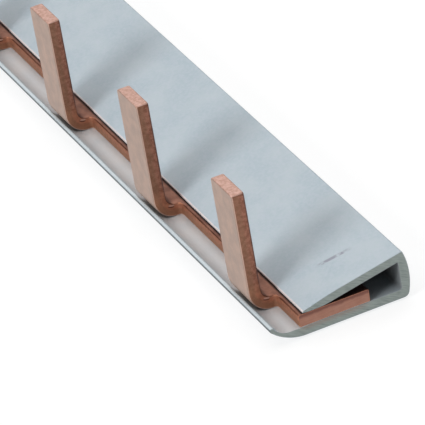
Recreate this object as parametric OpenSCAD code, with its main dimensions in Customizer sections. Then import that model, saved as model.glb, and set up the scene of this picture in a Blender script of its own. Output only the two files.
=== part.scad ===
// Single-phase comb busbar with upright pins, in its extruded insulating profile.
// +X runs along the bar, -Y is the pin side and +Z is up; z = 0 is the profile's underside.

/* [Comb] */
// Number of pins
pin_count = 12; // [2:1:24]
// Distance from one pin to the next, the width of one breaker module
pitch = 17.8; // [15:0.1:27]
// Distance from the centre of an end pin to the cut end of the busbar
end_margin = 5.9; // [4:0.1:8.5]
// Thickness of the copper strip
copper_t = 1.1; // [0.8:0.05:1.5]
// Width of the bar that lies in the profile
bar_w = 6.05; // [5:0.05:8]
// Width of a pin, measured along the bar
pin_w = 3.85; // [3:0.05:5]
// Height of the pin tips above the underside of the bar
pin_h = 10.65; // [8:0.05:16]
// Inside radius of the bend at the foot of a pin
bend_r = 0.75; // [0.5:0.05:1.2]
// Flat stretch of a tab between the edge of the bar and its bend
root_run = 0.35; // [0.3:0.05:0.8]
// Radius in the corners between a tab and the bar
root_fillet = 0.3; // [0.1:0.05:0.3]
// Radius of the two corners at the tip of a pin
tip_r = 0.3; // [0.1:0.05:0.8]

/* [Profile] */
// Thickness of the floor under the bar
floor_t = 0.8; // [0.6:0.05:1.2]
// Outside radius of the curl that leads up to the lip
curl_r = 3.9; // [3.5:0.1:5]
// Angle that the inside of the trough turns through up to the lip
lip_angle = 58; // [45:1:65]
// Thickness of the lip at its edge
lip_t = 0.4; // [0.3:0.05:0.5]
// Free width in front of the pins, out to the line that the trough's curve is heading for
lip_clear = 0.15; // [0.1:0.05:0.5]
// How much tighter the trough curves than the outside of the bend that lies in it
trough_clear = 0.3; // [0.2:0.05:0.6]
// Free width of the channel behind the bar
back_room = 2.7; // [2:0.1:4]
// Height of the channel at the back wall
channel_h = 2.4; // [2:0.05:3.2]
// Thickness of the back wall at its two corners
wall_t = 0.5; // [0.4:0.05:0.8]
// How far the back wall bulges past its corners
wall_bulge = 0.35; // [0.2:0.05:0.6]
// Radius of the round corner between the underside and the back wall
heel_r = 0.5; // [0.2:0.05:0.5]
// Thickness of the flap
flap_t = 0.72; // [0.5:0.02:1]
// Thickness of the flap at its edge
flap_edge_t = 0.2; // [0.1:0.05:0.4]
// Width of the bevel that thins the flap towards its edge
flap_bevel = 2.4; // [1:0.1:4]
// Width of the flap's underside that lies flat on the bar, back from its edge
flap_landing = 1.8; // [0.5:0.1:2.5]
// Strip of the bar that the flap leaves bare along the front
bare_strip = 0.4; // [0.2:0.1:1]

/* [Hidden] */
$fn = 96;

// Degrees that the cut for the heel stops short of each of its tangent points
HEEL_TRIM = 5;

COPPER = [0.72, 0.47, 0.36];
GREY_PVC = [0.74, 0.78, 0.80];

length = (pin_count - 1) * pitch + 2 * end_margin;

// The outside of the bend, which the lip of the profile has to clear
bend_outer_r = bend_r + copper_t;
pin_reach = root_run + bend_outer_r;
copper_top = floor_t + copper_t;

// Trough: an arc that rises from the floor in front of the bar, at [y, z] from the bar's front edge
trough_r = bend_outer_r - trough_clear;
trough_y = trough_r - pin_reach - lip_clear;
trough_z = floor_t + trough_r;
lip_out = [-sin(lip_angle), -cos(lip_angle)];
lip_mid = [trough_y, trough_z] + (trough_r + lip_t / 2) * lip_out;

// Curl: the outside arc, tangent to the underside and to the round of the lip
curl_y = lip_mid[0] + sqrt(pow(curl_r - lip_t / 2, 2) - pow(curl_r - lip_mid[1], 2));

// Back wall, and the flap that leans from its top on to the bar
wall_y = bar_w + back_room;
channel_top = floor_t + channel_h;
landing_y = bare_strip + flap_landing;
flap_slope = (channel_top - copper_top) / (wall_y - landing_y);
flap_rise = flap_t * sqrt(1 + pow(flap_slope, 2));
back_y = wall_y + wall_t;
back_h = channel_top + flap_rise + flap_slope * wall_t;
bulge_r = (pow(back_h / 2, 2) + pow(wall_bulge, 2)) / (2 * wall_bulge);
bulge_y = back_y + wall_bulge - bulge_r;

// Heel: an arc that runs from the underside into the wall's outer arc
heel_y = bulge_y + sqrt(pow(bulge_r - heel_r, 2) - pow(back_h / 2 - heel_r, 2));
heel_out = [heel_y - bulge_y, heel_r - back_h / 2] / (bulge_r - heel_r);

// The bar's front edge is this far in front of the middle of the whole width
front_shift = (back_y + wall_bulge + lip_mid[0] - lip_t / 2) / 2;

// Height of the flap's upper face, y behind the bar's front edge
function flap_top(y) = copper_top + flap_slope * (y - landing_y) + flap_rise;

// One tab of the comb: z = 0 is the underside of the bar and y = 0 its front edge
module pin() {
    translate([-pin_w / 2, -root_run, 0])
        cube([pin_w, root_run + copper_t, copper_t]);
    translate([0, -root_run, bend_outer_r])
        rotate([0, 90, 0])
            rotate([0, 0, -90])
                rotate_extrude(angle = 90)
                    translate([bend_r, -pin_w / 2])
                        square([copper_t, pin_w]);
    translate([0, copper_t - pin_reach, bend_outer_r])
        rotate([90, 0, 0])
            linear_extrude(copper_t)
                shank_outline(pin_h - bend_outer_r);
    for (side = [0, 1])
        mirror([side, 0, 0])
            linear_extrude(copper_t)
                translate([pin_w / 2, 0])
                    root_corner();
}

// Front view of the straight part of a pin, with its two round corners at the tip
module shank_outline(h) {
    translate([-pin_w / 2, 0])
        square([pin_w, h - tip_r]);
    translate([tip_r - pin_w / 2, 0])
        square([pin_w - 2 * tip_r, h]);
    for (x = [tip_r - pin_w / 2, pin_w / 2 - tip_r])
        translate([x, h - tip_r])
            circle(tip_r);
}

// Plan of the round corner between a tab's side and the bar's edge
module root_corner() {
    difference() {
        translate([-root_fillet, -root_fillet])
            square([2 * root_fillet, 2 * root_fillet]);
        translate([root_fillet, -root_fillet])
            circle(root_fillet);
    }
}

module copper_comb() {
    color(COPPER)
        translate([0, -front_shift, floor_t]) {
            translate([-length / 2, 0, 0])
                cube([length, bar_w, copper_t]);
            for (i = [0 : pin_count - 1])
                translate([(i - (pin_count - 1) / 2) * pitch, 0, 0])
                    pin();
        }
}

// Section of the floor: flat behind the curl's centre, and rounded underneath in front of it
module floor_section() {
    intersection() {
        translate([trough_y, 0])
            square([wall_y - trough_y, floor_t]);
        union() {
            translate([curl_y, curl_r])
                circle(curl_r);
            translate([curl_y, 0])
                square([wall_y - curl_y, floor_t]);
        }
    }
}

// Section of the lip: what lies between the curl outside and the trough inside
module lip_section() {
    difference() {
        intersection() {
            translate([curl_y, curl_r])
                circle(curl_r);
            translate([trough_y, trough_z])
                polygon([[0, 0], 2 * curl_r * lip_out, [-curl_r, -curl_r], [0, -curl_r]]);
        }
        translate([trough_y, trough_z])
            circle(trough_r);
    }
    translate(lip_mid)
        circle(lip_t / 2);
}

// Section of the back wall: flat inside, bulging outside, and up to the flap's upper face
module wall_section() {
    outer_y = back_y + 2 * wall_bulge;
    intersection() {
        polygon([
            [wall_y, 0],
            [outer_y, 0],
            [outer_y, back_h],
            [back_y, back_h],
            [wall_y, channel_top],
        ]);
        translate([bulge_y, back_h / 2])
            circle(bulge_r);
    }
}

// What the round heel takes off the corner below the back wall, from bottom_a to wall_a on its arc
module heel_corner() {
    wall_a = asin(heel_out[1]) - HEEL_TRIM;
    bottom_a = HEEL_TRIM - 90;
    reach = 3 * heel_r;
    translate([heel_y, heel_r])
        difference() {
            polygon([
                [0, 0],
                reach * [cos(bottom_a), sin(bottom_a)],
                reach * [1, -1],
                reach * [cos(wall_a), sin(wall_a)],
            ]);
            circle(heel_r);
        }
}

// Section of the flap: its front lies flat on the bar, and its upper face is bevelled there
module flap_section() {
    bevel_y = bare_strip + flap_bevel;
    polygon([
        [bare_strip, copper_top],
        [landing_y, copper_top],
        [wall_y, channel_top],
        [back_y, channel_top],
        [back_y, back_h],
        [bevel_y, flap_top(bevel_y)],
        [bare_strip, copper_top + flap_edge_t],
    ]);
}

module insulating_profile() {
    color(GREY_PVC)
        translate([0, -front_shift, 0])
            rotate([90, 0, 90])
                linear_extrude(length, center = true)
                    difference() {
                        union() {
                            floor_section();
                            lip_section();
                            wall_section();
                            flap_section();
                        }
                        heel_corner();
                    }
}

copper_comb();
insulating_profile();
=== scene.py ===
# Comb busbar: a copper comb with upright pins, lying in its extruded grey profile.
import math

import bmesh
import bpy
from mathutils import Matrix, Vector


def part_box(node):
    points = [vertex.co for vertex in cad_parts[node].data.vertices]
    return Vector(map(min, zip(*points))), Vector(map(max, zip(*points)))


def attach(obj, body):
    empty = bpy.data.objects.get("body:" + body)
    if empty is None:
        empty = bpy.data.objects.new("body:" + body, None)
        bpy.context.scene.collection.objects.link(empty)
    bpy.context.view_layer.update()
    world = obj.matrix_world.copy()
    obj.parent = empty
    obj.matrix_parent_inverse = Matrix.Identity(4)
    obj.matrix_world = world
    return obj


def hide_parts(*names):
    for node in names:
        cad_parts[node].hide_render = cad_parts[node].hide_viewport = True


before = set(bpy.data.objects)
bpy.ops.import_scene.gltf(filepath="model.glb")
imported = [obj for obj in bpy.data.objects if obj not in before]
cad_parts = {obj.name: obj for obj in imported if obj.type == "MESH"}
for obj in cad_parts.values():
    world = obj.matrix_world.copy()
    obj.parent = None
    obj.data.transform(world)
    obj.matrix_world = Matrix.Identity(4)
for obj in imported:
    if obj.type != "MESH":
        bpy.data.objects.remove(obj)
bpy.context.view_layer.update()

# ---------------------------------------------------------------------------------------------
# Insulating profile. One extrusion of grey rigid PVC with a floor, a rolled-up lip in front, a
# back wall and a flap that leans on the bar. The comb is pushed in from the end, where the spring
# of the flap holds it, and the two are sawn to length together.

# Pieces are drawn in millimetres and scaled to metres when they are finished
MM = 0.001
end_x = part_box("insulating_profile")[0].x / MM
comb_low, comb_high = (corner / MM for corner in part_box("copper_comb"))

# Points nearer than MERGE are merged, and a place is told from its neighbours to within NEAR
MERGE = 1e-4
NEAR = 1e-3

# Sizes of the section, the same as the solid's
BAR_W = 6.05
COPPER_T = 1.1
FLOOR_T = 0.8
CURL_R = 3.9
LIP_ANGLE = math.radians(58)
LIP_T = 0.4
TROUGH_R = 1.55
TROUGH_FROM_PINS = 1.4
BACK_ROOM = 2.7
CHANNEL_TOP = 3.2
WALL_T = 0.5
WALL_BULGE = 0.35
HEEL_R = 0.5
FLAP_T = 0.72
FLAP_EDGE_T = 0.2
UNDERCUT_W = 0.5
UNDERCUT_H = 0.06
FLAP_BEVEL = 2.4
FLAP_LANDING = 1.8
BARE_STRIP = 0.4

# The saw leaves a small round edge, made of two insets: how far in, and how far out along X
SAWN_EDGE = ((0.012, 0.03), (0.03, 0.012))

bar_front = comb_high.y - BAR_W
copper_top = FLOOR_T + COPPER_T
wall_y = bar_front + BAR_W + BACK_ROOM
landing_y = bar_front + BARE_STRIP + FLAP_LANDING
flap_slope = (CHANNEL_TOP - copper_top) / (wall_y - landing_y)
flap_rise = FLAP_T * math.hypot(1, flap_slope)


def flap_top(y):
    """Height of the flap's upper face at y."""
    return copper_top + flap_slope * (y - landing_y) + flap_rise


back_y = wall_y + WALL_T
back_h = flap_top(back_y)
bulge_r = ((back_h / 2) ** 2 + WALL_BULGE ** 2) / (2 * WALL_BULGE)
bulge_mid = Vector((back_y + WALL_BULGE - bulge_r, back_h / 2))
heel_mid = Vector((
    bulge_mid.x + math.sqrt((bulge_r - HEEL_R) ** 2 - (back_h / 2 - HEEL_R) ** 2), HEEL_R))
heel_angle = math.atan2(heel_mid.y - bulge_mid.y, heel_mid.x - bulge_mid.x)
trough_mid = Vector((comb_low.y + TROUGH_FROM_PINS, FLOOR_T + TROUGH_R))
lip_mid = trough_mid - (TROUGH_R + LIP_T / 2) * Vector((math.sin(LIP_ANGLE), math.cos(LIP_ANGLE)))
curl_mid = Vector((
    lip_mid.x + math.sqrt((CURL_R - LIP_T / 2) ** 2 - (CURL_R - lip_mid.y) ** 2), CURL_R))
curl_angle = math.atan2(lip_mid.y - curl_mid.y, lip_mid.x - curl_mid.x)


def start_point(name, place):
    """A new object in edit mode whose mesh is the one point at place, ready to be drawn on."""
    bpy.ops.object.select_all(action="DESELECT")
    bpy.ops.mesh.primitive_plane_add(size=1)
    bpy.context.object.name = name
    bpy.ops.object.mode_set(mode="EDIT")
    bpy.ops.mesh.merge(type="CENTER")
    bpy.ops.transform.translate(value=place)
    return bpy.context.object


def pick(kind, wanted):
    """Selects the verts, edges or faces for which wanted is true, and nothing else."""
    bpy.ops.mesh.select_mode(type={"verts": "VERT", "edges": "EDGE", "faces": "FACE"}[kind])
    bpy.ops.mesh.select_all(action="DESELECT")
    mesh = bmesh.from_edit_mesh(bpy.context.object.data)
    for element in getattr(mesh, kind):
        if wanted(element):
            element.select_set(True)
    bmesh.update_edit_mesh(bpy.context.object.data)


def middle(element):
    """The middle of an edge or a face."""
    return sum((vert.co for vert in element.verts), Vector()) / len(element.verts)


def draw_line(pen, *places):
    """Extrudes the selected point at pen through the places, each (y, z), and returns the last."""
    for place in map(Vector, places):
        step = place - pen
        bpy.ops.mesh.extrude_region_move(TRANSFORM_OT_translate={"value": (0, step.x, step.y)})
        pen = place
    return pen


def draw_arc(pen, centre, angle, steps):
    """Spins the selected point at pen about centre, both (y, z), and returns where it ends."""
    bpy.ops.mesh.spin(steps=steps, angle=-angle, center=(section_x, *centre), axis=(1, 0, 0))
    arm = pen - centre
    arm.rotate(Matrix.Rotation(angle, 2))
    return centre + arm


# The outline is drawn from the heel along the underside, then by lip, trough, wall and flap
section_x = end_x + sum(depth for inset, depth in SAWN_EDGE)
flap_edge_y = bar_front + BARE_STRIP
bevel_y = flap_edge_y + FLAP_BEVEL
lip_turn = math.pi / 2 - LIP_ANGLE - curl_angle - 2 * math.pi
start_point("extruded_profile", (section_x, heel_mid.x, 0))
pen = draw_line(Vector((heel_mid.x, 0)), (curl_mid.x, 0))
pen = draw_arc(pen, curl_mid, curl_angle + math.pi / 2, steps=24)
pen = draw_arc(pen, lip_mid, lip_turn, steps=14)
pen = draw_arc(pen, trough_mid, LIP_ANGLE, steps=16)
pen = draw_line(
    pen,
    (wall_y, FLOOR_T),
    (wall_y, CHANNEL_TOP),
    (landing_y, copper_top),
    (flap_edge_y + UNDERCUT_W, copper_top),
    (flap_edge_y, copper_top + UNDERCUT_H),
    (flap_edge_y, copper_top + FLAP_EDGE_T),
    (bevel_y, flap_top(bevel_y)),
    (back_y, back_h),
)
bulge_start = math.atan2(back_h - bulge_mid.y, back_y - bulge_mid.x)
pen = draw_arc(pen, bulge_mid, heel_angle - bulge_start, steps=16)
draw_arc(pen, heel_mid, -math.pi / 2 - heel_angle, steps=8)
bpy.ops.mesh.select_all(action="SELECT")
bpy.ops.mesh.remove_doubles(threshold=MERGE)
bpy.ops.mesh.edge_face_add()

# The corners of the section that the extrusion die leaves slightly round
for corner, radius in (
    ((wall_y, FLOOR_T), 0.25),
    ((wall_y, CHANNEL_TOP), 0.12),
    ((landing_y, copper_top), 0.4),
    ((flap_edge_y, copper_top + FLAP_EDGE_T), 0.05),
    ((bevel_y, flap_top(bevel_y)), 0.7),
    ((back_y, back_h), 0.14),
):
    pick("verts", lambda vert: (vert.co - Vector((section_x, *corner))).length < NEAR)
    bpy.ops.mesh.bevel(offset=radius, segments=5, affect="VERTICES")

bpy.ops.mesh.select_all(action="SELECT")
bpy.ops.mesh.extrude_region_move(TRANSFORM_OT_translate={"value": (-2 * section_x, 0, 0)})
bpy.ops.mesh.select_all(action="SELECT")
bpy.ops.mesh.normals_make_consistent(inside=False)
for inset, depth in SAWN_EDGE:
    pick("faces", lambda face: len(face.verts) > 4)
    bpy.ops.mesh.inset(thickness=inset, depth=depth)


class Wire:
    """A node's output that takes part in Python sums: each operator adds one Math node."""

    def __init__(self, socket):
        self.socket = socket

    def math(self, operation, first, second):
        node = self.socket.id_data.nodes.new("ShaderNodeMath")
        node.operation = operation
        plug(node.inputs[0], first)
        plug(node.inputs[1], second)
        return Wire(node.outputs[0])

    def __add__(self, other):
        return self.math("ADD", self, other)

    def __sub__(self, other):
        return self.math("SUBTRACT", self, other)

    def __rsub__(self, other):
        return self.math("SUBTRACT", other, self)

    def __mul__(self, other):
        return self.math("MULTIPLY", self, other)

    __radd__ = __add__
    __rmul__ = __mul__


def plug(socket, value):
    """Links a wire to the socket, or sets the socket to a plain value."""
    if isinstance(value, Wire):
        socket.id_data.links.new(value.socket, socket)
    else:
        socket.default_value = value


class Finish:
    """A material in the making, on one Principled shader."""

    def __init__(self, name):
        self.material = bpy.data.materials.new(name)
        self.material.use_nodes = True
        self.shader = self.material.node_tree.nodes["Principled BSDF"]
        self.place = self.node("ShaderNodeTexCoord", output="Object")

    def node(self, kind, settings=(), sockets=(), output=0):
        """Adds one node: its settings first, then its sockets, and gives the output asked for."""
        made = self.material.node_tree.nodes.new(kind)
        for name, value in dict(settings).items():
            setattr(made, name, value)
        for name, value in dict(sockets).items():
            plug(made.inputs[name], value)
        return Wire(made.outputs[output])

    def noise(self, size, detail, stretch=(1, 1, 1), vector=None):
        """Noise from 0 to 1 whose lumps are size mm across, drawn out by stretch."""
        scale = [1 / (MM * size * factor) for factor in stretch]
        mapped = self.node("ShaderNodeMapping", sockets={0: vector or self.place, 3: scale})
        return self.node("ShaderNodeTexNoise", sockets={0: mapped, "Scale": 1, "Detail": detail})

    def step(self, value, start, end):
        """A smooth step from 0 at start to 1 at end, which may be the lower of the two."""
        return self.node(
            "ShaderNodeMapRange", {"interpolation_type": "SMOOTHSTEP"},
            {0: value, 1: start, 2: end})

    def band(self, value, start, full, last, end):
        """A smooth rise from start to full, and a smooth fall from last to end."""
        return self.step(value, start, full) * self.step(value, end, last)

    def mix(self, factor, first, second):
        """The first colour where factor is 0 and the second where it is 1."""
        return self.node(
            "ShaderNodeMix", {"data_type": "RGBA"}, {0: factor, 6: first, 7: second}, output=2)

    def axes(self, vector=None):
        """The x, y and z in mm of a vector in metres, or of the place on the piece."""
        split = self.node("ShaderNodeSeparateXYZ", sockets={0: vector or self.place})
        return [Wire(socket) * (1 / MM) for socket in split.socket.node.outputs]

    def bump(self, height, strength, distance):
        """A normal that follows height, which is worth distance mm."""
        return self.node(
            "ShaderNodeBump",
            sockets={"Strength": strength, "Distance": distance * MM, "Height": height})

    def set(self, **sockets):
        """Sets sockets of the shader, written with _ for each space in their names."""
        for name, value in sockets.items():
            plug(self.shader.inputs[name.replace("_", " ")], value)
        return self.material


# The skin, as it left the extrusion die: faint clouds, a fine grain and long draw lines
PVC_DULL = (0.365, 0.440, 0.485, 1)
PVC_CLEAN = (0.425, 0.490, 0.525, 1)
PVC_GRAIN = (0.46, 0.50, 0.56, 1)
# Painted light on the lip: a pale highlight along its top and a dark line of shade round its front
LIP_HIGHLIGHT = (0.58, 0.64, 0.66, 1)
LIP_SHADE_LINE = (0.055, 0.068, 0.072, 1)
TROUGH_WARM = (0.55, 0.50, 0.47, 1)
# Painted highlight, with the copper's reflection, along the edge of the flap
FLAP_EDGE_HIGHLIGHT = (0.78, 0.66, 0.63, 1)
# Painted shade inside the channel
CHANNEL_SHADE = (0.20, 0.215, 0.225, 1)
SCUFFED = (0.20, 0.19, 0.24, 1)

skin = Finish("grey_pvc_skin")
along_y, up_z = skin.axes()[1:]
clouds = skin.noise(2.6, detail=4)
grain = skin.noise(0.28, detail=3)
draw_lines = skin.noise(0.22, detail=2, stretch=(160, 1, 1))
tone = skin.mix(skin.step(clouds, 0.3, 0.7), PVC_DULL, PVC_CLEAN)
tone = skin.mix(skin.step(grain, 0.35, 0.7) * 0.5, tone, PVC_GRAIN)

# The top of the lip is painted paler as a highlight, and a painted dark line of shade runs round
# its front
painted_lip_highlight = skin.step(up_z, lip_mid.y + 0.10, lip_mid.y + 0.17)
painted_lip_highlight = painted_lip_highlight * skin.step(along_y, lip_mid.x + 0.3, lip_mid.x + 0.1)
tone = skin.mix(painted_lip_highlight * (0.5 + 0.5 * grain), tone, LIP_HIGHLIGHT)
# A painted dark line of shade round the front of the lip
painted_lip_shade = skin.step(along_y, lip_mid.x + 0.06, lip_mid.x - 0.04)
painted_lip_shade = painted_lip_shade * skin.band(
    up_z, lip_mid.y - 0.5, lip_mid.y - 0.2, lip_mid.y + 0.08, lip_mid.y + 0.14)
tone = skin.mix(painted_lip_shade * (0.8 + 0.2 * clouds), tone, LIP_SHADE_LINE)

# The grey of the trough is made warmer and paler, more so in patches
trough = skin.band(along_y, lip_mid.x + 0.2, lip_mid.x + 0.6, bar_front - 0.1, bar_front + 0.4)
trough = trough * skin.band(up_z, 0.5 * FLOOR_T, 0.75 * FLOOR_T, 1.7, 2.0)
tone = skin.mix(trough * (0.3 + 0.5 * clouds), tone, TROUGH_WARM)

# The edge of the flap is painted pale pink, a highlight with the copper's reflection in it
painted_flap_edge_highlight = skin.step(along_y, flap_edge_y + 0.13, flap_edge_y + 0.05)
painted_flap_edge_highlight = painted_flap_edge_highlight * skin.step(up_z, copper_top + 0.09, copper_top + 0.13)
tone = skin.mix(painted_flap_edge_highlight * (0.55 + 0.45 * grain), tone, FLAP_EDGE_HIGHLIGHT)

# The inside of the channel is painted dark as shade, its back wall most of all
behind = skin.band(along_y, bar_front + 0.4, bar_front + 0.9, wall_y + 0.06, wall_y + 0.12)
ceiling = copper_top + flap_slope * (along_y - landing_y)
inside = behind * skin.step(up_z - ceiling, 0.3, 0.1)
inside = inside * skin.step(up_z, 0.5 * FLOOR_T, 0.8 * FLOOR_T)
on_wall = skin.step(along_y, wall_y - 0.3, wall_y - 0.05)
tone = skin.mix(inside * (0.6 + 0.35 * on_wall), tone, CHANNEL_SHADE)

# A ragged scuff near the sawn end, where the busbar was clamped for the saw
SCUFF_AT = (99.9 * MM, 1.6 * MM, 0)
SCUFF_TURN = math.radians(86)
scuff_place = skin.node(
    "ShaderNodeMapping", {"vector_type": "TEXTURE"},
    {0: skin.place, 1: SCUFF_AT, 2: (0, 0, SCUFF_TURN)})
scuff_along, scuff_across = skin.axes(scuff_place)[:2]
scuff = skin.step(scuff_along * scuff_along, 2.8, 0.4)
scuff = scuff * skin.step(scuff_across * scuff_across, 0.06, 0.005)
scuff = scuff * skin.step(skin.noise(0.5, detail=4), 0.36, 0.58)
scuff = scuff * skin.step(up_z, copper_top, copper_top + 0.5)
tone = skin.mix(scuff * 0.75, tone, SCUFFED)
skin.set(
    Base_Color=tone,
    Roughness=0.38 + 0.16 * clouds,
    Normal=skin.bump(grain + 0.7 * draw_lines, 0.3, 0.014),
)

# The sawn ends: slanting strokes of the saw, with copper smeared over the plastic under the bar
STROKE_DARK = (0.20, 0.235, 0.222, 1)
STROKE_LIGHT = (0.345, 0.40, 0.378, 1)
SAWN_BLOTCH = (0.30, 0.345, 0.325, 1)
COPPER_SMEAR = (0.30, 0.19, 0.145, 1)
STROKE_SLANT = math.radians(28)

sawn = Finish("grey_pvc_sawn")
along_y, up_z = sawn.axes()[1:]
slanted = sawn.node("ShaderNodeMapping", sockets={0: sawn.place, 2: (STROKE_SLANT, 0, 0)})
strokes = sawn.noise(0.10, detail=3, stretch=(1, 12, 1), vector=slanted)
blotches = sawn.noise(0.45, detail=4)
tone = sawn.mix(sawn.step(strokes, 0.25, 0.75), STROKE_DARK, STROKE_LIGHT)
tone = sawn.mix(sawn.step(blotches, 0.3, 0.7) * 0.5, tone, SAWN_BLOTCH)
smear = sawn.band(up_z, 0.25, FLOOR_T, FLOOR_T + 0.02, FLOOR_T + 0.15)
smear = smear * sawn.band(
    along_y, bar_front - 0.3, bar_front + 0.6, comb_high.y - 1.0, comb_high.y + 0.4)
tone = sawn.mix(smear * (0.25 + 0.6 * blotches), tone, COPPER_SMEAR)
sawn.set(Base_Color=tone, Roughness=0.62, Normal=sawn.bump(strokes + blotches, 0.6, 0.03))

# Edges that turn by less than this are shaded smooth
SMOOTH_UNDER = math.radians(32)


def close_piece(node, finishes, choose):
    """Ends the modelling of the object in edit mode, with choose(face) giving the finish's index.
    """
    bpy.ops.object.mode_set(mode="OBJECT")
    piece = bpy.context.object
    piece.scale = (MM, MM, MM)
    bpy.ops.object.transform_apply(scale=True)
    for finish in finishes:
        piece.data.materials.append(finish.material)
    for face in piece.data.polygons:
        face.material_index = choose(face)
    bpy.ops.object.shade_smooth_by_angle(angle=SMOOTH_UNDER)
    bpy.ops.object.modifier_add(type="WEIGHTED_NORMAL")
    piece.modifiers[-1].keep_sharp = True
    piece.modifiers[-1].weight = 100
    bpy.ops.object.modifier_apply(modifier=piece.modifiers[-1].name)
    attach(piece, "root")
    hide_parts(node)


close_piece(
    "insulating_profile", [skin, sawn], lambda face: abs(face.normal.x) > 0.98)

# ---------------------------------------------------------------------------------------------
# Copper comb. It is punched from rolled strip, so that its wide faces are smooth and the edges
# round them are sheared, and its tabs are bent up square to the bar. One pitch is modelled and
# repeated, and the two ends are sawn off level with the profile.

PITCH = 17.8
PIN_COUNT = 12
PIN_W = 3.85
BEND_R = 0.75
ROOT_RUN = 0.35
ROOT_FILLET = 0.3
FILLET_STEPS = 4
TIP_R = 0.3

# Rounding of the outline where the punch went in, where it came out, and at the sawn ends
ROLLED_OVER = 0.16
BURR_SIDE = 0.09
SAWN_ROUND = 0.05

# Heights of the two short rings of faces that the shank starts with, above the bend
SHANK_RINGS = (0.25, 0.5)

bend_mid = Vector((bar_front - ROOT_RUN, copper_top + BEND_R))

bpy.ops.object.select_all(action="DESELECT")
bpy.ops.mesh.primitive_plane_add(size=1, location=(0, bar_front + BAR_W / 2, FLOOR_T))
comb = bpy.context.object
comb.name = "punched_comb"
comb.scale = (PITCH, BAR_W, 1)
bpy.ops.object.transform_apply(location=True, scale=True)
bpy.ops.object.mode_set(mode="EDIT")

# The tab grows from the front edge, through the round corners at its root
tab_half = PIN_W / 2
for cut in (-tab_half - ROOT_FILLET, tab_half + ROOT_FILLET):
    bpy.ops.mesh.select_all(action="SELECT")
    bpy.ops.mesh.bisect(plane_co=(cut, 0, 0), plane_no=(1, 0, 0))
pick("edges", lambda edge: middle(edge).y < bar_front + NEAR and abs(middle(edge).x) < tab_half)
half, reach = tab_half + ROOT_FILLET, 0
for i in range(1, FILLET_STEPS + 1):
    turn = math.pi / 2 * i / FILLET_STEPS
    new_half = tab_half + ROOT_FILLET * (1 - math.sin(turn))
    new_reach = ROOT_FILLET * (1 - math.cos(turn))
    bpy.ops.mesh.extrude_region_move(
        TRANSFORM_OT_translate={"value": (0, reach - new_reach, 0)})
    bpy.ops.transform.resize(value=(new_half / half, 1, 1))
    half, reach = new_half, new_reach
bpy.ops.mesh.extrude_region_move(TRANSFORM_OT_translate={"value": (0, reach - ROOT_RUN, 0)})

# Thickness of the strip; the cell stays open at both ends, where the next one joins
bpy.ops.mesh.select_all(action="SELECT")
bpy.ops.mesh.extrude_region_move(TRANSFORM_OT_translate={"value": (0, 0, COPPER_T)})
bpy.ops.mesh.select_all(action="SELECT")
bpy.ops.mesh.normals_make_consistent(inside=False)
pick("faces", lambda face: abs(middle(face).x) > PITCH / 2 - NEAR)
bpy.ops.mesh.delete(type="FACE")

# The bend, the straight shank and the round corners at the tip
pick("faces", lambda face: middle(face).y < bend_mid.x + NEAR)
bpy.ops.mesh.spin(steps=14, angle=math.pi / 2, center=(0, *bend_mid), axis=(1, 0, 0))
shank_h = comb_high.z - bend_mid.y
for rise in (*SHANK_RINGS, shank_h - sum(SHANK_RINGS)):
    bpy.ops.mesh.extrude_region_move(TRANSFORM_OT_translate={"value": (0, 0, rise)})
bpy.ops.mesh.select_all(action="SELECT")
bpy.ops.mesh.remove_doubles(threshold=MERGE)
bpy.ops.mesh.normals_make_consistent(inside=False)
pick("edges", lambda edge: (
    middle(edge).z > comb_high.z - NEAR and abs(abs(middle(edge).x) - tab_half) < NEAR))
bpy.ops.mesh.bevel(offset=TIP_R, segments=5)


def on_blank(place):
    """Where a point lay before the bend: along the tab (negative on the bar), and through it."""
    if place.y >= bend_mid.x:
        return bend_mid.x - place.y, place.z - FLOOR_T
    if place.z <= bend_mid.y:
        arm = Vector((bend_mid.x - place.y, bend_mid.y - place.z))
        return BEND_R * math.atan2(arm.x, arm.y), BEND_R + COPPER_T - arm.length
    return BEND_R * math.pi / 2 + place.z - bend_mid.y, place.y - comb_low.y


def is_sharp(edge):
    """True for an edge between two faces that stand nearly square to each other."""
    return edge.is_manifold and edge.calc_face_angle() > 1


def is_outline(edge, depth):
    """True for an edge of the cut outline at that depth through the strip."""
    return is_sharp(edge) and all(
        abs(on_blank(vert.co)[1] - depth) < NEAR for vert in edge.verts)


for depth, roundness in ((COPPER_T, ROLLED_OVER), (0, BURR_SIDE)):
    pick("edges", lambda edge: is_outline(edge, depth))
    bpy.ops.mesh.bevel(offset=roundness, segments=3, clamp_overlap=False)

# Twelve cells in a row, joined into one bar, with both ends cut to the sawn length
bpy.ops.object.mode_set(mode="OBJECT")
cells = [comb]
for i in range(1, PIN_COUNT):
    cell = comb.copy()
    cell.data = comb.data.copy()
    cell.location.x = i * PITCH
    bpy.context.collection.objects.link(cell)
    cells.append(cell)
bpy.ops.object.select_all(action="DESELECT")
for cell in cells:
    cell.location.x -= (PIN_COUNT - 1) * PITCH / 2
    cell.select_set(True)
bpy.context.view_layer.objects.active = comb
bpy.ops.object.join()
bpy.ops.object.transform_apply(location=True)
bpy.ops.object.mode_set(mode="EDIT")
bpy.ops.mesh.select_mode(type="VERT")
bpy.ops.mesh.select_all(action="SELECT")
bpy.ops.mesh.remove_doubles(threshold=NEAR)
for side in (-1, 1):
    bpy.ops.mesh.select_all(action="SELECT")
    bpy.ops.mesh.bisect(
        plane_co=(side * comb_high.x, 0, 0), plane_no=(side, 0, 0),
        clear_outer=True, use_fill=True)
pick("edges", lambda edge: abs(middle(edge).x) > comb_high.x - NEAR and is_sharp(edge))
bpy.ops.mesh.bevel(offset=SAWN_ROUND, segments=2)
bpy.ops.mesh.select_all(action="SELECT")
bpy.ops.mesh.normals_make_consistent(inside=False)

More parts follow.
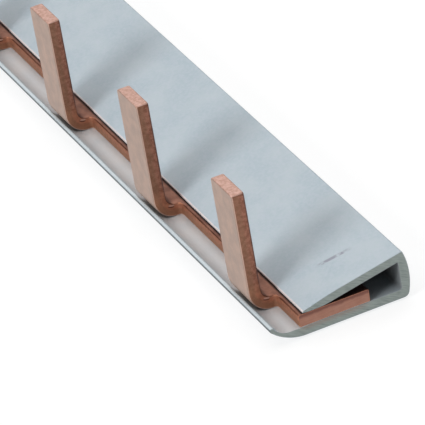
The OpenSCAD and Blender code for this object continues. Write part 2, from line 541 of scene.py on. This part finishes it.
# Each point keeps its place on the flat strip, so that the rolling marks follow the bends
bpy.ops.object.mode_set(mode="OBJECT")
blank = comb.data.attributes.new("blank", "FLOAT_VECTOR", "POINT")
for vert in comb.data.vertices:
    along, through = on_blank(vert.co)
    blank.data[vert.index].vector = (vert.co.x * MM, along * MM, through * MM)
bpy.ops.object.mode_set(mode="EDIT")


def copper(name):
    """A finish that also knows its place on the flat strip, and in mm how far along and deep."""
    finish = Finish(name)
    finish.blank = finish.node(
        "ShaderNodeAttribute", {"attribute_name": "blank"}, output="Vector")
    finish.along, finish.depth = finish.axes(finish.blank)[1:]
    return finish


# The rolled faces are streaked along the strip and lightly tarnished. The one that was uppermost
# in the press is browner and darker, part tarnish and part painted shade under the flap and in
# the bends, and nearly black along the edge of the flap, where a shadow is painted.
ROLLED_DULL = (0.36, 0.250, 0.200, 1)
ROLLED_BRIGHT = (0.46, 0.305, 0.235, 1)
ROLLED_STREAK = (0.38, 0.30, 0.26, 1)
BROWN_DARK = (0.15, 0.058, 0.036, 1)
BROWN_LIGHT = (0.26, 0.115, 0.075, 1)
FLAP_SHADOW = (0.035, 0.014, 0.012, 1)

rolled = copper("copper_rolled")
along_y = rolled.axes()[1]
tarnish = rolled.noise(1.1, detail=4, vector=rolled.blank)
streaks = rolled.noise(0.16, detail=3, stretch=(1, 16, 1), vector=rolled.blank)
tone = rolled.mix(rolled.step(tarnish, 0.3, 0.7), ROLLED_DULL, ROLLED_BRIGHT)
tone = rolled.mix(rolled.step(streaks, 0.35, 0.75) * 0.6, tone, ROLLED_STREAK)
# Browner and darker: part tarnish, part painted shade under the flap and in the bends
browned_and_shaded = rolled.step(rolled.depth, 0.75, 0.95)
brown = rolled.mix(rolled.step(tarnish, 0.3, 0.7), BROWN_DARK, BROWN_LIGHT)
tone = rolled.mix(browned_and_shaded, tone, brown)
# A painted shadow, nearly black, on the copper along the edge of the flap
painted_flap_shadow = browned_and_shaded * rolled.step(along_y, flap_edge_y - 0.22, flap_edge_y - 0.06)
tone = rolled.mix(painted_flap_shadow * 0.85, tone, FLAP_SHADOW)
rolled.set(
    Base_Color=tone,
    Metallic=0.8,
    Roughness=0.34 + 0.2 * streaks,
    Normal=rolled.bump(streaks + 0.6 * tarnish, 0.4, 0.02),
)

# The sheared edges are matt and mottled, redder round the foot of a pin. The punch has burnished
# one half of their depth, and they are dark along one edge and carry a painted highlight along
# the other.
SHEARED_DARK = (0.24, 0.092, 0.055, 1)
SHEARED_LIGHT = (0.42, 0.185, 0.122, 1)
SHEARED_SPECK = (0.50, 0.27, 0.19, 1)
FOOT_RED = (0.62, 0.265, 0.15, 1)
TORN = (0.27, 0.15, 0.085, 1)
EDGE_DARK = (0.09, 0.05, 0.055, 1)
EDGE_HIGHLIGHT = (0.80, 0.56, 0.47, 1)

sheared = copper("copper_sheared")
up_z = sheared.axes()[2]
mottle = sheared.noise(0.30, detail=4, vector=sheared.blank)
specks = sheared.noise(0.10, detail=3, vector=sheared.blank)
drag = sheared.noise(0.14, detail=3, stretch=(1, 1, 8), vector=sheared.blank)
tone = sheared.mix(sheared.step(mottle, 0.3, 0.7), SHEARED_DARK, SHEARED_LIGHT)
tone = sheared.mix(sheared.step(specks, 0.55, 0.72) * 0.55, tone, SHEARED_SPECK)
foot = sheared.step(up_z, copper_top + 2.0, copper_top + 0.6)
tone = sheared.mix(foot * (0.25 + 0.5 * mottle), tone, FOOT_RED)
burnish = sheared.step(sheared.depth + 0.3 * (mottle - 0.5), 0.45, 0.75)
tone = sheared.mix((1 - burnish) * 0.45, tone, TORN)
edge_back = sheared.step(sheared.depth, COPPER_T - 0.2, COPPER_T - 0.08)
edge_back = edge_back * sheared.step(up_z, copper_top + 1.2, copper_top + 2.2)
tone = sheared.mix(edge_back * 0.75, tone, EDGE_DARK)
# A painted highlight along the front edge
painted_edge_highlight = sheared.step(sheared.depth, 0.13, 0.06)
tone = sheared.mix(painted_edge_highlight * 0.75, tone, EDGE_HIGHLIGHT)

# Every tab gets the same painted glint on the sheared side of its bend, with a painted dark line
# of shade under it
GLINT_ALONG = 0.36
GLINT_DEPTH = 0.93
GLINT_LEAN = 0.35
GLINT_SHADE_BELOW = 0.13
GLINT_BRIGHT = (0.72, 0.46, 0.38, 1)
GLINT_SHADE_DARK = (0.05, 0.02, 0.012, 1)

# The painted glint and the painted line of shade under it
glint_along = sheared.along - GLINT_ALONG
glint_depth = sheared.depth - GLINT_DEPTH + GLINT_LEAN * glint_along
glint_shade_depth = glint_depth + GLINT_SHADE_BELOW
near_glint = sheared.step(glint_along * glint_along, 0.055, 0.01)
glint_shade = near_glint * sheared.step(glint_shade_depth * glint_shade_depth, 0.004, 0.001)
tone = sheared.mix(glint_shade * 0.8, tone, GLINT_SHADE_DARK)
glint = near_glint * sheared.step(glint_depth * glint_depth, 0.008, 0.002)
tone = sheared.mix(glint * 0.8, tone, GLINT_BRIGHT)
sheared.set(
    Base_Color=tone,
    Metallic=0.55,
    Roughness=0.50 + 0.15 * mottle,
    Normal=sheared.bump(specks + drag, 0.7, 0.035),
)

# The sawn ends of the bar show the strokes of the saw, and are painted darker along their
# upper edge as shade
COPPER_STROKE_DARK = (0.275, 0.122, 0.086, 1)
COPPER_STROKE_LIGHT = (0.44, 0.225, 0.160, 1)
COPPER_PATCH = (0.40, 0.215, 0.160, 1)
UPPER_SHADE = (0.17, 0.066, 0.05, 1)

sawn_copper = copper("copper_sawn")
strokes = sawn_copper.noise(0.12, detail=3, stretch=(1, 10, 1))
patches = sawn_copper.noise(0.6, detail=3)
tone = sawn_copper.mix(strokes, COPPER_STROKE_DARK, COPPER_STROKE_LIGHT)
tone = sawn_copper.mix(sawn_copper.step(patches, 0.4, 0.7) * 0.5, tone, COPPER_PATCH)
# Painted shade along the upper edge of the sawn end
painted_upper_shade = sawn_copper.step(
    sawn_copper.depth + 0.35 * (patches - 0.5), COPPER_T - 0.45, COPPER_T - 0.2)
tone = sawn_copper.mix(painted_upper_shade * 0.85, tone, UPPER_SHADE)
sawn_copper.set(
    Base_Color=tone,
    Metallic=0.7,
    Roughness=0.42 + 0.1 * strokes,
    Normal=sawn_copper.bump(strokes, 0.6, 0.025),
)

# The tips of the pins are sheared too, but are painted brighter, as light from above and behind
# makes them
TIP_LIT_DARK = (0.46, 0.265, 0.205, 1)
TIP_LIT_LIGHT = (0.61, 0.385, 0.32, 1)

lit_tip = copper("copper_tip_lit")
mottle = lit_tip.noise(0.24, detail=4)
tone = lit_tip.mix(lit_tip.step(mottle, 0.3, 0.7), TIP_LIT_DARK, TIP_LIT_LIGHT)
lit_tip.set(Base_Color=tone, Metallic=0.55, Roughness=0.5, Normal=lit_tip.bump(mottle, 0.5, 0.03))


def copper_face(face):
    """Which copper finish a face takes: 0 rolled, 1 sheared, 2 sawn or 3 for the tips."""
    if abs(face.normal.x) > 0.9 and abs(face.center.x) > (comb_high.x - NEAR) * MM:
        return 2
    if face.center.z > (comb_high.z - TIP_R) * MM and face.normal.z > 0.6:
        return 3
    along, through = on_blank(face.center / MM)
    if along < 0:
        across = abs(face.normal.z)
    elif along > BEND_R * math.pi / 2:
        across = abs(face.normal.y)
    else:
        turn = along / BEND_R
        across = abs(face.normal.y * math.sin(turn) + face.normal.z * math.cos(turn))
    return 0 if across > 0.7 else 1


close_piece("copper_comb", [rolled, sheared, sawn_copper, lit_tip], copper_face)

# ---------------------------------------------------------------------------------------------
# Setting. The busbar lies on a pale matt floor that glows as a lit studio sweep does. A large soft
# box hangs over it, a small bright one lights the fronts of the pins and a weak one fills from
# behind. The camera looks down on the sawn end from the pins' side.

FLOOR_SIZE = 6
FLOOR_DROP = 0.0002
FLOOR_GREY = (0.25, 0.25, 0.25, 1)
WHITE = (1, 1, 1, 1)

bpy.ops.mesh.primitive_plane_add(size=FLOOR_SIZE, location=(0, 0, -FLOOR_DROP))
floor = bpy.context.object
floor.name = "floor"
floor_finish = Finish("floor_white")
floor.data.materials.append(floor_finish.set(
    Base_Color=FLOOR_GREY,
    Roughness=0.9,
    Emission_Color=WHITE,
    Emission_Strength=0.75,
))

# The soft boxes are aimed at the last pins before the sawn end
FOCUS = Vector((0.0904, -0.004, 0.005))


def soft_box(name, azimuth, elevation, distance, width, height, radiance):
    """A rectangular light aimed at FOCUS, as bright as a surface of that radiance."""
    a, e = math.radians(azimuth), math.radians(elevation)
    away = Vector((math.cos(a) * math.cos(e), math.sin(a) * math.cos(e), math.sin(e)))
    lamp = bpy.data.lights.new(name, "AREA")
    lamp.shape = "RECTANGLE"
    lamp.size, lamp.size_y = width, height
    lamp.energy = radiance * math.pi * width * height
    holder = bpy.data.objects.new(name, lamp)
    turn = away.to_track_quat("Z", "Y").to_matrix().to_4x4()
    holder.matrix_world = Matrix.Translation(FOCUS + distance * away) @ turn
    bpy.context.collection.objects.link(holder)


soft_box("light_above", 165, 78, distance=0.6, width=1.0, height=1.0, radiance=1.5)
soft_box("light_front", -72, 33, distance=0.9, width=0.3, height=0.3, radiance=14.0)
soft_box("light_back", 150, 30, distance=0.9, width=0.9, height=0.5, radiance=0.8)

WORLD_STRENGTH = 0.08
world = bpy.data.worlds.new("studio")
world.use_nodes = True
world.node_tree.nodes["Background"].inputs["Color"].default_value = WHITE
world.node_tree.nodes["Background"].inputs["Strength"].default_value = WORLD_STRENGTH
bpy.context.scene.world = world
bpy.context.scene.view_settings.view_transform = "Standard"

CAMERA_AT = (0.408411, -0.118844, 0.197882)
CAMERA_ACROSS = Vector((0.41658, 0.89604, -0.15354))
CAMERA_UP = Vector((-0.39871, 0.33186, 0.85492))
CAMERA_LENS = 423.53
CAMERA_SENSOR = 36

camera = bpy.data.objects.new("camera", bpy.data.cameras.new("camera"))
camera.data.lens = CAMERA_LENS
camera.data.sensor_width = CAMERA_SENSOR
camera.data.clip_start = 0.01
camera_axes = Matrix((CAMERA_ACROSS, CAMERA_UP, CAMERA_ACROSS.cross(CAMERA_UP)))
camera.matrix_world = Matrix.Translation(CAMERA_AT) @ camera_axes.transposed().to_4x4()
bpy.context.collection.objects.link(camera)
bpy.context.scene.camera = camera
